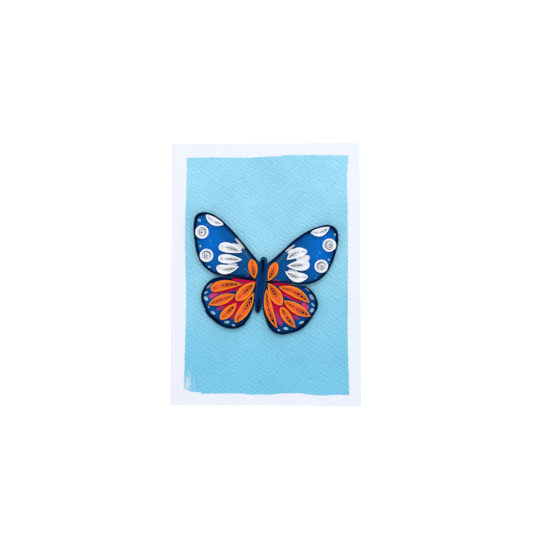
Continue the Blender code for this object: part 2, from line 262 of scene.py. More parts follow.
# How each is wound: where its eye lies from the tail as a share of its length, its packed outer turns, and how
# much wider than the others every second space is at its tip and at its tail
WINDINGS = {
    "body_coil": (0.52, 4, 1.0, 1.0),
    "left_thorax_coil": (0.30, 4, 3.0, 1.0),
    "right_thorax_coil": (0.30, 4, 3.0, 1.0),
    "left_forewing_half_moon": (0.47, 6, 2.5, 2.0),
    "left_forewing_teardrop_upper": (0.26, 6, 1.5, 1.0),
    "left_forewing_teardrop_middle": (0.26, 6, 1.5, 1.0),
    "left_forewing_teardrop_lower": (0.26, 6, 1.5, 1.0),
    "right_forewing_half_moon": (0.42, 5, 4.0, 2.0),
    "right_forewing_teardrop_upper": (0.32, 5, 4.0, 1.0),
    "right_forewing_teardrop_middle": (0.26, 6, 1.5, 1.0),
    "right_forewing_teardrop_lower": (0.32, 5, 4.0, 1.5),
    "left_hindwing_petal_top": (0.24, 4, 4.0, 1.0),
    "left_hindwing_petal_outer": (0.46, 4, 4.0, 4.0),
    "left_hindwing_petal_lower": (0.34, 5, 2.0, 1.0),
    "left_hindwing_petal_inner": (0.34, 4, 4.0, 1.5),
    "left_hindwing_petal_centre": (0.30, 5, 2.5, 1.0),
    "right_hindwing_petal_top": (0.42, 4, 4.0, 2.0),
    "right_hindwing_petal_outer": (0.44, 4, 4.0, 4.0),
    "right_hindwing_petal_lower": (0.38, 4, 3.0, 1.5),
    "right_hindwing_petal_inner": (0.46, 3, 4.0, 4.0),
    "right_hindwing_petal_centre": (0.30, 4, 2.5, 1.0),
}

# Round coils: name, spot on the edging, the way from there to the coil's middle, where the strip ends, and the
# way the loose middle has slipped, all ways in degrees
ROUND_COIL_DIAMETER = 9.1 * MM
COIL_CLEARANCE = 0.2 * MM
ROUND_COIL_SHARES = (
    ("left_forewing_round_upper", (-0.493, 0.297), 5, 200, 195),
    ("left_forewing_round_lower", (-0.443, 0.124), 20, 150, 250),
    ("right_forewing_round_upper", (0.502, 0.295), -170, 330, 10),
    ("right_forewing_round_lower", (0.457, 0.118), 162, 0, 320),
)

# The round coils' turns come in packs: the turns in each, the air outside it and how far it has slipped aside
ROUND_PACKS = ((6, 0, 0), (4, 0.55 * MM, 0.50 * MM), (4, 0.36 * MM, 0.34 * MM))
ROUND_LOOSE_AIR = 0.03 * MM
SECOND_SLIP_TURN = math.radians(140)

# Brush strokes and dabs, in the order they are painted, in shares of the wing span: paint, start, end, width
# and bow. The dark strokes that come first on each wing are painted shade: under the body, in the gaps between
# it and the wings, and where an edging's layers stand apart.
STROKE_SHARES = {
    "left_forewing": (
        ("deep", (-0.205, 0.013), (-0.018, 0.002), 0.018, 0),
        ("white", (-0.240, 0.226), (-0.152, 0.212), 0.052, -0.005),
        ("white", (-0.242, 0.095), (-0.175, 0.099), 0.018, 0),
        ("white", (-0.203, 0.279), (-0.135, 0.213), 0.016, 0),
        ("ice", (-0.477, 0.389), (-0.455, 0.378), 0.017, 0),
        ("ice", (-0.449, 0.204), (-0.435, 0.206), 0.016, 0),
        ("ice", (-0.376, 0.069), (-0.358, 0.064), 0.013, 0),
        ("sky", (-0.460, 0.236), (-0.452, 0.223), 0.008, 0),
        ("bright", (-0.414, 0.362), (-0.397, 0.355), 0.011, 0),
        ("bright", (-0.392, 0.346), (-0.379, 0.349), 0.008, 0),
        ("bright", (-0.382, 0.244), (-0.368, 0.251), 0.011, 0),
        ("bright", (-0.367, 0.218), (-0.357, 0.217), 0.008, 0),
        ("bright", (-0.363, 0.198), (-0.354, 0.197), 0.007, 0),
        ("bright", (-0.367, 0.355), (-0.357, 0.353), 0.007, 0),
        ("bright", (-0.390, 0.272), (-0.381, 0.271), 0.007, 0),
        ("vein", (-0.143, 0.213), (-0.090, 0.141), 0.010, -0.002),
        ("vein", (-0.105, 0.066), (-0.076, 0.033), 0.015, 0),
        ("vein", (-0.126, 0.080), (-0.111, 0.067), 0.008, 0),
        ("rose", (-0.115, 0.022), (-0.087, 0.023), 0.006, 0),
        ("ice", (-0.231, 0.016), (-0.221, 0.012), 0.007, 0),
    ),
    "right_forewing": (
        ("deep", (0.027, -0.006), (0.103, 0.004), 0.021, 0),
        ("white", (0.165, 0.207), (0.201, 0.238), 0.020, 0),
        ("white", (0.227, 0.175), (0.320, 0.190), 0.050, -0.004),
        ("white", (0.181, 0.089), (0.244, 0.085), 0.016, 0),
        ("white", (0.149, 0.217), (0.209, 0.270), 0.013, 0),
        ("ice", (0.475, 0.362), (0.488, 0.365), 0.018, 0),
        ("ice", (0.447, 0.190), (0.460, 0.183), 0.013, 0),
        ("sky", (0.366, 0.051), (0.377, 0.054), 0.013, 0),
        ("sky", (0.459, 0.163), (0.464, 0.158), 0.008, 0),
        ("sky", (0.474, 0.343), (0.479, 0.333), 0.008, 0),
        ("sky", (0.373, 0.080), (0.391, 0.073), 0.008, 0),
        ("bright", (0.411, 0.348), (0.424, 0.341), 0.012, 0),
        ("bright", (0.394, 0.315), (0.406, 0.309), 0.009, 0),
        ("bright", (0.379, 0.234), (0.393, 0.226), 0.011, 0),
        ("bright", (0.364, 0.207), (0.374, 0.201), 0.010, 0),
        ("bright", (0.369, 0.183), (0.377, 0.180), 0.008, 0),
        ("bright", (0.395, 0.257), (0.403, 0.252), 0.007, 0),
        ("vein", (0.101, 0.137), (0.154, 0.212), 0.008, -0.002),
        ("vein", (0.135, 0.193), (0.156, 0.208), 0.015, 0),
        ("vein", (0.090, 0.039), (0.109, 0.067), 0.013, 0),
        ("rose", (0.079, 0.012), (0.113, 0.016), 0.007, 0),
        ("vein", (0.112, 0.007), (0.132, 0.015), 0.007, 0),
        ("ice", (0.212, 0.009), (0.224, 0.010), 0.006, 0),
    ),
    "left_hindwing": (
        ("deep", (0.002, 0.150), (-0.004, -0.214), 0.045, 0),
        ("deep", (-0.308, -0.291), (-0.228, -0.335), 0.022, 0.003),
        ("deep", (-0.206, -0.340), (-0.085, -0.306), 0.017, -0.004),
        ("deep", (-0.369, -0.233), (-0.322, -0.284), 0.014, 0),
        ("crimson", (-0.027, -0.019), (-0.205, -0.005), 0.032, -0.004),
        ("crimson", (-0.075, -0.031), (-0.325, -0.111), 0.040, -0.002),
        ("crimson", (-0.088, -0.111), (-0.290, -0.224), 0.036, -0.002),
        ("crimson", (-0.080, -0.100), (-0.186, -0.276), 0.054, 0.003),
        ("rose", (-0.144, -0.033), (-0.264, -0.082), 0.013, -0.001),
        ("violet", (-0.240, -0.194), (-0.288, -0.221), 0.022, 0),
        ("violet", (-0.156, -0.237), (-0.176, -0.275), 0.023, 0),
        ("pink", (-0.348, -0.144), (-0.295, -0.114), 0.027, 0.002),
        ("haze", (-0.373, -0.081), (-0.339, -0.044), 0.015, -0.002),
        ("ice", (-0.386, -0.120), (-0.364, -0.106), 0.013, 0),
        ("ice", (-0.383, -0.142), (-0.356, -0.165), 0.023, 0),
        ("ice", (-0.350, -0.203), (-0.339, -0.213), 0.010, 0),
        ("ice", (-0.327, -0.239), (-0.297, -0.255), 0.019, 0),
        ("ice", (-0.228, -0.305), (-0.193, -0.301), 0.017, 0),
        ("ice", (-0.175, -0.319), (-0.151, -0.320), 0.013, 0),
    ),
    "right_hindwing": (
        ("deep", (0.281, -0.306), (0.364, -0.227), 0.021, 0.003),
        ("crimson", (0.063, -0.012), (0.211, -0.013), 0.030, 0.003),
        ("crimson", (0.107, -0.046), (0.283, -0.118), 0.029, 0),
        ("crimson", (0.142, -0.133), (0.280, -0.242), 0.030, -0.001),
        ("crimson", (0.078, -0.111), (0.156, -0.228), 0.045, 0),
        ("rose", (0.161, -0.080), (0.223, -0.102), 0.012, 0),
        ("violet", (0.121, -0.210), (0.166, -0.291), 0.036, 0),
        ("violet", (0.243, -0.213), (0.276, -0.238), 0.023, 0),
        ("pink", (0.295, -0.123), (0.339, -0.165), 0.032, 0),
        ("haze", (0.303, -0.018), (0.338, -0.040), 0.012, 0),
        ("haze", (0.343, -0.065), (0.374, -0.094), 0.023, -0.002),
        ("ice", (0.360, -0.123), (0.381, -0.142), 0.011, 0),
        ("ice", (0.355, -0.183), (0.377, -0.160), 0.022, 0),
        ("ice", (0.286, -0.268), (0.316, -0.253), 0.018, 0),
        ("ice", (0.182, -0.310), (0.214, -0.312), 0.018, 0),
        ("ice", (0.141, -0.325), (0.160, -0.328), 0.012, 0),
    ),
}

# Where each wing's blue is brightest, and how far that reaches
BRIGHT_SPOTS_SHARES = {
    "left_forewing": (-0.398, 0.244),
    "right_forewing": (0.406, 0.265),
    "left_hindwing": (-0.31, -0.20),
    "right_hindwing": (0.31, -0.20),
}
BRIGHT_REACH = (18 * MM, 34 * MM)

# The dark line painted along the inside of each edging: partly a real dark border, partly painted shade from the
# edging's wall
OUTLINE_INSET = 0.35 * MM
OUTLINE_WIDTH = 1.15 * MM
OUTLINE_HEIGHT = 0.06 * MM
OUTLINE_WAVE = 4 * MM
OUTLINE_WAVER_SHARE = 0.24

# A stroke of thick paint. Each lies a little higher than the one before it, and where it is brushed thin it is
# darker, by a share of its colour.
STROKE_HEIGHT = 0.05 * MM
STROKE_LIFT = 0.004 * MM
STROKE_REACH = (50 * MM, 50 * MM)
STROKE_POINTS = 40
STROKE_RIM_SHARE = 0.86
STROKE_BLUNTNESS = 0.7
STROKE_WOBBLE_SHARE = 0.12
THIN_SHARE = 0.82
THIN_CRIMSON_SHARE = 0.6

# Seeds of the smooth noise. Each is fixed, so that every run gives the same card, strokes and strips. The sky's
# ragged edge has one for each direction, and a row of pieces has a start and a step.
WANDER_SEED = 7.3
PATCH_SEED = 31.7
TOOTH_SEED = 3.1
RAGGED_SEEDS = (5.3, 15.7)
OUTLINE_SEED = 60
STROKE_SEEDS = (1, 3.7)
PINCHED_SEEDS = (2, 7.7)
ROUND_SEEDS = (90, 5.3)
EDGING_SEED_STEP = 11.3
LAYER_SEED_STEP = 2.9
LAYER_DROP_STEP = 5.0
LAYER_TOP_SEED = 50
TURN_SEED_STEP = 1.7
SPACE_SEED = 0.5
SPACE_SEED_STEP = 1.37
TAIL_SEED = 40

# Scales of the patterns in the materials, per metre, each from a real size
PULP_SCALE = 40  # uneven pulp, 25 mm across
CARD_TOOTH_SCALE = 2600  # the card's tooth, 0.4 mm
POOL_SCALE = 22  # pools of wet wash, 45 mm across
SPECK_SCALE = 1100  # bare specks as fine as the card's tooth, drawn 0.9 mm wide so that they show
BRISTLE_SCALE = 900  # streaks of a dry brush, 1.1 mm apart
BRUSH_SCALE = 260  # dabs of a small brush, 4 mm
FELT_SCALE = 116  # the card's ridges under the paint, 2.7 mm apart
FIBRE_SCALE = 900  # clumps of fibre in the strips' paper, 1.1 mm across

# How far the dry brush's streaks are drawn out, and how they lean
BRISTLE_STRETCH = 9
BRISTLE_LEAN = math.radians(4)

# Specular level of paper and gouache, which hardly shine
MATT_GLOSS_SHARE = 0.03

# Sockets of a Mix node that mixes colours: its factor, its two colours and its result
MIX_FACTOR = 0
MIX_FIRST = 6
MIX_SECOND = 7
MIX_RESULT = 2

# The stage, in metres: a wide pale floor close under the card, and one soft lamp beyond the head end
FLOOR_SIZE = 6
FLOOR_GAP = 0.05 * MM
FLOOR_GREY = 0.9
FLOOR_GLOW = 0.3
WINDOW_PLACE = (0.08, 0.65, 1.05)
WINDOW_SIZE = 0.7
SENSOR_WIDTH = 36
CLIP_START = 0.01


def linear(colour):
    """Linear red, green and blue of an sRGB hex colour."""
    shares = [int(colour[i : i + 2], 16) / 255 for i in (1, 3, 5)]
    return tuple(c / 12.92 if c <= 0.04045 else ((c + 0.055) / 1.055) ** 2.4 for c in shares)


def colour_setting(name, description, colour):
    """A colour that a user can change, from its sRGB hex value."""
    return FloatVectorProperty(name=name, description=description, default=linear(colour), subtype="COLOR")


class CardSettings(bpy.types.PropertyGroup):
    """The cold-pressed card and the wash of sky on it."""

    ridge_pitch: FloatProperty(
        name="Ridge pitch",
        description="Distance between the felt's ridges",
        default=2.55 * MM,
        unit="LENGTH",
    )
    grain_depth: FloatProperty(
        name="Grain depth",
        description="Depth of the valleys in the card",
        default=0.36 * MM,
        unit="LENGTH",
    )
    card_colour: colour_setting("Card", "Colour of the bare card", "#f0f4fe")
    sky_colour: colour_setting("Sky", "Colour of the wash at its top", "#a2e1fb")
    sky_low_colour: colour_setting("Low sky", "Colour of the wash at its bottom", "#80d0f1")


class PaintSettings(bpy.types.PropertyGroup):
    """Opaque paint on the wings."""

    forewing_colour: colour_setting("Forewing", "Brightest blue of the forewings", "#056ccc")
    forewing_dark_colour: colour_setting("Forewing, dark", "Blue of the forewings near the body", "#0d5088")
    hindwing_colour: colour_setting("Hindwing", "Brightest blue of the hindwings", "#0358a8")
    hindwing_dark_colour: colour_setting("Hindwing, dark", "Blue of the hindwings near the body", "#063a74")
    crimson_colour: colour_setting("Crimson", "Main colour of the hindwings' fans", "#ea165c")
    rose_colour: colour_setting("Rose", "Lighter strokes in the fans and at the forewings' roots", "#f23a5c")
    violet_colour: colour_setting("Violet", "Where the fans thin out over blue", "#c43c86")
    pink_colour: colour_setting("Pink", "Dabs past the fans", "#f8488c")
    white_colour: colour_setting("White", "White strokes on the forewings", "#f6f8fc")
    ice_colour: colour_setting("Ice", "Pale dots along the wings' edges", "#aeebff")
    sky_colour: colour_setting("Sky dots", "Thin dots that the blue shows through", "#3fa2d8")
    haze_colour: colour_setting("Haze", "Grey-blue dabs near the hindwings' tops", "#a6cce8")
    bright_colour: colour_setting("Bright", "Flecks of brighter blue", "#3494e6")
    # Painted shade: dark paint under the body, in the gaps beside it, between an edging's layers and in the line
    # inside each edging, where it is also a real dark border
    deep_colour: colour_setting("Deep", "Dark blue at the body and along the edgings", "#08193a")
    vein_colour: colour_setting("Vein", "Thin grey-blue strokes at the forewings' roots", "#557590")


class PaperSettings(bpy.types.PropertyGroup):
    """The strips of dyed quilling paper: their cut edges, their faces and the cut edges further in. The faces
    and the inner edges are darker as painted shade, the faces partly by their own dye too.
    """

    thickness: FloatProperty(
        name="Paper thickness", description="Thickness of one turn", default=0.19 * MM, unit="LENGTH"
    )
    # Each paper's face colour is darker than its edge, partly its dye and partly painted shade; its inner colour
    # is painted shade
    navy_colour: colour_setting("Navy", "Cut edge of the body and edgings", "#0b3d78")
    navy_face_colour: colour_setting("Navy, face", "Face of the navy strips", "#04122e")
    navy_shade_colour: colour_setting("Navy, inner", "Cut edge of the inner navy turns", "#06204a")
    orange_colour: colour_setting("Orange", "Cut edge of the petals", "#ff8a20")
    orange_face_colour: colour_setting("Orange, face", "Face of the orange strips", "#d83e18")
    orange_shade_colour: colour_setting("Orange, inner", "Cut edge of the inner orange turns", "#ff6f38")
    white_colour: colour_setting("White", "Cut edge of the forewings' coils", "#f4f8ff")
    white_face_colour: colour_setting("White, face", "Face of the white strips", "#f0f4fc")
    white_shade_colour: colour_setting("White, inner", "Cut edge of the inner white turns", "#eceff8")


class StageSettings(bpy.types.PropertyGroup):
    """The camera over the card and the light on it."""

    lens: FloatProperty(name="Lens", description="Focal length in millimetres", default=35)
    camera_place: FloatVectorProperty(
        name="Camera", description="Where the camera hangs", default=(0.00599, -0.00929, 0.35523), subtype="XYZ"
    )
    camera_turn: FloatVectorProperty(
        name="Camera turn",
        description="How the camera leans",
        default=(math.radians(2.232), math.radians(0.862), math.radians(-0.032)),
        subtype="EULER",
    )
    daylight: FloatProperty(name="Daylight", description="Strength of the even light", default=0.82, min=0)
    window: FloatProperty(name="Window", description="Power of the soft lamp in watts", default=4.1, min=0)


def spans(point):
    """A place in the butterfly's frame, from its shares of the wing span."""
    return (point[0] * WING_SPAN, point[1] * WING_SPAN)


def on_card(point):
    """A place on the card from a place in the butterfly's frame."""
    spot = WAIST @ Vector((point[0], point[1], 0))
    return (spot.x, spot.y)


def seed_of(seeds, order):
    """The seed of one piece of a row, from the row's start and step."""
    start, step = seeds
    return start + order * step


def smooth_noise(x, y, size, seed):
    """Noise at a place, in patches of a given size."""
    return noise.noise(Vector((x / size, y / size, seed)))


def grain(x, y, pitch):
    """Depth of the card's grain at a place, from 0 on a ridge to 1 in a valley."""
    height = 0.0
    for index, (way, weight) in enumerate(zip(RIDGE_WAYS, RIDGE_WEIGHTS_SHARES)):
        wander = RIDGE_WANDER_SHARE * smooth_noise(x, y, RIDGE_WANDER, WANDER_SEED + index)
        bold = RIDGE_EVEN_SHARE + RIDGE_PATCHY_SHARE * smooth_noise(x, y, PATCH_SIZE, PATCH_SEED + index)
        along = x * math.cos(way) + y * math.sin(way)
        height += weight * bold * math.sin(math.tau * (along / pitch + wander))
    height += TOOTH_SHARE * smooth_noise(x, y, TOOTH_SIZE, TOOTH_SEED)
    boldness = 1 - GRAIN_LEAN_SHARE * y / CAD_HIGH.y
    return 0.5 - 0.5 * math.tanh(GRAIN_CONTRAST * boldness * height)


def deselect_all():
    """Leaves edit mode and selects nothing, so that an operator acts on new geometry alone."""
    if bpy.context.object and bpy.context.object.mode != "OBJECT":
        bpy.ops.object.mode_set(mode="OBJECT")
    bpy.ops.object.select_all(action="DESELECT")


def select_only(*objects):
    """Selects the given objects, the first one active."""
    deselect_all()
    for obj in objects:
        obj.select_set(True)
    bpy.context.view_layer.objects.active = objects[0]


def finish_piece(obj, name, material, stands_for=()):
    """Names a finished mesh, gives it its material and lets it ride with the card."""
    obj.name = name
    obj.data.name = name
    obj.data.materials.clear()
    obj.data.materials.append(material)
    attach(obj, BODY)
    if stands_for:
        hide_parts(*stands_for)


def join(pieces):
    """One object made of several."""
    select_only(*pieces)
    if len(pieces) > 1:
        bpy.ops.object.join()
    return bpy.context.object


def add_sheet(columns, rows, place):
    """A flat grid whose points are laid by place(u, v), with u and v from 0 to 1. Its faces point up."""
    deselect_all()
    bpy.ops.mesh.primitive_grid_add(x_subdivisions=columns, y_subdivisions=rows, size=1)
    sheet = bpy.context.object
    for vertex in sheet.data.vertices:
        vertex.co = place(vertex.co.x + 0.5, vertex.co.y + 0.5)
    return sheet


def close_below(sheet, base):
    """Gives a sheet its edges and a flat underside at the height of base."""
    select_only(sheet)
    bpy.ops.object.mode_set(mode="EDIT")
    bpy.ops.mesh.select_all(action="SELECT")
    bpy.ops.mesh.region_to_loop()
    bpy.ops.mesh.extrude_region_move(TRANSFORM_OT_translate={"value": (0, 0, -MM)})
    bpy.ops.object.mode_set(mode="OBJECT")
    for vertex in sheet.data.vertices:
        if vertex.select:
            vertex.co.z = base
    bpy.ops.object.mode_set(mode="EDIT")
    bpy.ops.mesh.edge_face_add()
    bpy.ops.mesh.select_all(action="SELECT")
    bpy.ops.mesh.normals_make_consistent(inside=False)
    bpy.ops.object.mode_set(mode="OBJECT")
    bpy.ops.object.shade_smooth_by_angle(angle=SHEET_SMOOTH_ANGLE)
    return sheet


def note_grain(sheet, pitch):
    """Stores the grain's depth at each point of a sheet, where the material darkens the valleys: painted shade,
    and on the sky also gathered pigment.
    """
    valley = sheet.data.attributes.new(GRAIN_ATTRIBUTE, "FLOAT", "POINT")
    for vertex, value in zip(sheet.data.vertices, valley.data):
        value.value = grain(vertex.co.x, vertex.co.y, pitch)


def add_strip(way, base, top, thickness, depths):
    """A strip of paper on its edge: a flat grid rolled along the way, its thickness to the left of it.

    top gives the height of the strip's upper edge at each step of the way. depths say how much painted shade
    darkens the paper's edge at each step, from 0 to 1, and are kept on the mesh for its material.
    """
    last = len(way) - 1
    deselect_all()
    bpy.ops.mesh.primitive_grid_add(x_subdivisions=last, y_subdivisions=1, size=1)
    strip = bpy.context.object
    steps = [round((vertex.co.x + 0.5) * last) for vertex in strip.data.vertices]
    for vertex, step in zip(strip.data.vertices, steps):
        height = top(step) if vertex.co.y > 0 else base
        vertex.co = (*way[step], height)
    wound = strip.data.attributes.new(INNER_SHADE_ATTRIBUTE, "FLOAT", "POINT")
    for step, value in zip(steps, wound.data):
        value.value = depths[step]
    paper = strip.modifiers.new("Paper", "SOLIDIFY")
    paper.thickness = thickness
    paper.offset = -1
    bpy.ops.object.modifier_apply(modifier=paper.name)
    bpy.ops.object.shade_smooth_by_angle(angle=STRIP_SMOOTH_ANGLE)
    return strip


def turn_sizes(reach, packed, pitch, loose_pitch, eye_size):
    """How far from the axis each turn starts, from the outermost to the eye."""
    sizes = [reach - pitch * turn for turn in range(packed + 1)]
    while sizes[-1] > eye_size + loose_pitch:
        sizes.append(sizes[-1] - loose_pitch)
    return [*sizes, eye_size]


def end_sizes(reach, count, packed, pitch, wide, eye_reach, seed):
    """How far from the eye each turn comes at one end: packed turns first, then uneven spaces two by two."""
    sizes = [reach - pitch * turn for turn in range(packed + 1)]
    spaces = []
    for turn in range(packed + 1, count):
        jitter = noise.noise(Vector((turn * SPACE_SEED_STEP, seed, SPACE_SEED)))
        spaces.append((1 + SPACING_JITTER_SHARE * jitter) * (wide if turn % 2 else 1.0))
    left = sizes[-1] - eye_reach
    for space in spaces:
        sizes.append(sizes[-1] - left * space / sum(spaces))
    return sizes


def size_at(sizes, turn):
    """The size part of the way round a turn, between those of the whole turns beside it."""
    whole = min(int(turn), len(sizes) - 2)
    return sizes[whole] + (sizes[whole + 1] - sizes[whole]) * (turn - whole)


def bowed(x, length, bow):
    """How far a bowed line stands aside at x: nothing at its ends, and the bow in its middle."""
    return 4 * bow * x * (length - x) / length**2


def pinched_way(length, width, bow, pinch, winding, thickness, loose_air, seed):
    """A strip's way from its end at the tip round the coil to the eye, and how far in each step lies.

    The tail is at the origin.
    """
    outer_tip, outer_tail, inner_tip, inner_tail = PINCHES_SHARES[pinch]
    eye_place, packed, wide_tip, wide_tail = winding
    sharp_tip = outer_tip > 0
    sharp_tail = outer_tail > SHARP_TAIL_SHARE
    eye = eye_place * length
    reach = width / 2
    pitch = thickness * (1 + PACKED_AIR_SHARE)
    slope = reach / (TAPER_SHARE * (length - eye))
    point_pitch = pitch * math.hypot(1, slope) / slope
    tip_pitch = point_pitch if sharp_tip else pitch
    tail_pitch = point_pitch if sharp_tail else pitch
    eye_size, eye_reach = (BODY_EYE_SIZE, BODY_EYE_REACH) if pinch == "body" else (EYE_SIZE, EYE_SIZE)
    sides = turn_sizes(reach, packed, pitch, thickness * (1 + loose_air), eye_size)
    tips = end_sizes(length - eye, len(sides), packed, tip_pitch, wide_tip, eye_reach, seed)
    tails = end_sizes(eye, len(sides), packed, tail_pitch, wide_tail, eye_reach, seed + TAIL_SEED)
    last = len(sides) - 1
    way = []
    depths = []
    for step in range(last * STEPS_PER_TURN + 1):
        turn = step / STEPS_PER_TURN
        depth = math.sqrt(turn / last)
        tip = outer_tip + (inner_tip - outer_tip) * depth
        tail = outer_tail + (inner_tail - outer_tail) * depth
        tip_power = 1 + tip
        tail_power = 1 + tail
        both = 2 + tip + tail
        peak = math.sqrt(tip_power**tip_power * tail_power**tail_power / both**both)
        from_tip = abs(math.sin(math.pi * turn))
        from_tail = abs(math.cos(math.pi * turn))
        half_width = size_at(sides, turn) * from_tip**tip_power * from_tail**tail_power / peak
        beyond_eye = length * from_tail**2 - eye
        if beyond_eye > 0:
            sharp = sharp_tip
            end_size = size_at(tips, turn)
            x = eye + beyond_eye * end_size / (length - eye)
        else:
            sharp = sharp_tail
            end_size = size_at(tails, turn)
            x = eye + beyond_eye * end_size / eye
        if sharp:
            radius = HAIRPIN_RADIUS + (INNER_HAIRPIN_RADIUS - HAIRPIN_RADIUS) * depth
            back = min(HAIRPIN_LIMIT_SHARE * end_size, (math.hypot(half_width, radius) - half_width) / slope)
            x -= back * (x - eye) / end_size
        y = half_width if turn % 1 < 0.5 else -half_width
        way.append((x, y + bowed(x, length, bow)))
        depths.append(max(0.0, turn - packed) / (last - packed))
    return way, depths


def round_way(diameter, slip_way, end_way, thickness):
    """A strip's way from its outer end round the coil to the eye, about the origin, and how far in it lies."""
    pitch = thickness * (1 + PACKED_AIR_SHARE)
    sizes = [diameter / 2]
    slips = [Vector((0, 0))]
    for index, (turns, air, slip) in enumerate(ROUND_PACKS):
        loose = ROUND_LOOSE_AIR if index else 0.0
        aside = slip_way + max(0, index - 1) * SECOND_SLIP_TURN
        spot = slips[-1] + slip * Vector((math.cos(aside), math.sin(aside)))
        for turn in range(turns):
            sizes.append(sizes[-1] - pitch - (loose if turn else air))
            slips.append(spot)
    packed = ROUND_PACKS[0][0]
    last = len(sizes) - 1
    way = []
    depths = []
    for step in range(last * STEPS_PER_TURN + 1):
        turn = step / STEPS_PER_TURN
        whole = min(int(turn), last - 1)
        size = max(EYE_SIZE, size_at(sizes, turn))
        spot = slips[whole].lerp(slips[whole + 1], turn - whole)
        angle = math.tau * turn + end_way
        way.append((size * math.cos(angle) + spot.x, size * math.sin(angle) + spot.y))
        depths.append(max(0.0, turn - packed) / (last - packed))
    return way, depths


def uneven_top(way, depths, seed):
    """Heights of a coil's upper edge: a little uneven, and lower in the coil's middle."""

    def top(step):
        turn = step / STEPS_PER_TURN
        ripple = smooth_noise(*way[step], STRIP_WAVE, seed + turn * TURN_SEED_STEP)
        return STRIP_TOP - TOP_UNEVEN * (0.5 + ripple) - INNER_DROP * depths[step]

    return top


def layer_top(way, seed):
    """Heights of an edging layer's upper edge: some layers are glued a little lower than others."""
    drop = LAYER_STEP * (0.5 + 0.5 * math.sin(seed * LAYER_DROP_STEP))

    def top(step):
        ripple = smooth_noise(*way[step], LAYER_WAVE, seed + LAYER_TOP_SEED)
        return STRIP_TOP - drop - LAYER_WANDER * (0.5 + 0.5 * ripple)

    return top


def turned(way, place, turn):
    """A way moved from a coil's own frame on to the card."""
    spin = Matrix.Rotation(turn, 2)
    spots = [spin @ Vector(point) for point in way]
    return [on_card((place[0] + spot.x, place[1] + spot.y)) for spot in spots]


def smooth_edge(points):
    """Close points along the smooth curve through the given ones."""
    deselect_all()
    bpy.ops.curve.primitive_bezier_curve_add()
    curve = bpy.context.object
    curve.data.resolution_u = EDGE_POINTS_BETWEEN_HANDLES
    spline = curve.data.splines[0]
    spline.bezier_points.add(len(points) - len(spline.bezier_points))
    for knot, (x, y) in zip(spline.bezier_points, points):
        knot.co = (x, y, 0)
        knot.handle_left_type = "AUTO"
        knot.handle_right_type = "AUTO"
    bpy.ops.object.convert(target="MESH")
    way = [(vertex.co.x, vertex.co.y) for vertex in curve.data.vertices]
    bpy.ops.object.delete()
    return way


def inside_of(way, insets):
    """A way moved to its left by an inset at each point."""
    moved = []
    for index, (x, y) in enumerate(way):
        before = Vector(way[max(0, index - 1)])
        after = Vector(way[min(len(way) - 1, index + 1)])
        along = (after - before).normalized()
        moved.append((x - along.y * insets[index], y + along.x * insets[index]))
    return moved


def add_stroke(start, end, width, bow, base, height, seed):
    """A stroke of thick paint: a round-ended patch whose rim is lower than its middle."""
    deselect_all()
    bpy.ops.mesh.primitive_circle_add(vertices=STROKE_POINTS, radius=1, fill_type="NGON")
    stroke = bpy.context.object
    along = Vector((end[0] - start[0], end[1] - start[1]))
    length = along.length
    turn = math.atan2(along.y, along.x)
    bpy.ops.object.mode_set(mode="EDIT")
    bpy.ops.mesh.extrude_region_move(TRANSFORM_OT_translate={"value": (0, 0, 1)})
    bpy.ops.transform.resize(value=(STROKE_RIM_SHARE, STROKE_RIM_SHARE, 1))
    bpy.ops.mesh.select_all(action="SELECT")
    bpy.ops.mesh.normals_make_consistent(inside=False)
    bpy.ops.object.mode_set(mode="OBJECT")
    for vertex in stroke.data.vertices:
        angle = math.atan2(vertex.co.y, vertex.co.x)
        spread = math.hypot(vertex.co.x, vertex.co.y)
        blunt = math.copysign(abs(math.sin(angle)) ** STROKE_BLUNTNESS, math.sin(angle))
        ripple = noise.noise(Vector((2 * math.cos(angle), 2 * math.sin(angle), seed)))
        wobble = 1 + STROKE_WOBBLE_SHARE * ripple
        inset = (1 - spread) * width / 2
        x = length / 2 + (length / 2 - inset) * math.cos(angle)
        y = (width / 2 - inset) * blunt * wobble + bowed(x, length, bow)
        spot = Matrix.Rotation(turn, 2) @ Vector((x, y))
        place = on_card((start[0] + spot.x, start[1] + spot.y))
        vertex.co = (*place, base + vertex.co.z * height)
    return stroke


def add_node(tree, kind, settings=None, links=None):
    """A node with its own settings and input values, and the sockets that feed it."""
    node = tree.nodes.new(kind)
    for key, value in (settings or {}).items():
        if isinstance(key, str) and hasattr(node, key):
            setattr(node, key, value)
        else:
            node.inputs[key].default_value = value
    for key, socket in (links or {}).items():
        tree.links.new(socket, node.inputs[key])
    return node


def new_material(name, roughness):
    """A bare matt material, its node tree, its shader and the object's own coordinates."""
    material = bpy.data.materials.new(name)
    material.use_nodes = True
    tree = material.node_tree
    shader = tree.nodes["Principled BSDF"]
    shader.inputs["Roughness"].default_value = roughness
    shader.inputs["Specular IOR Level"].default_value = MATT_GLOSS_SHARE
    place = add_node(tree, "ShaderNodeTexCoord").outputs["Object"]
    return material, tree, shader, place


def tinted(colour, share):
    """A colour made darker or lighter by a share, with full opacity."""
    return (*[min(1.0, c * share) for c in colour], 1)


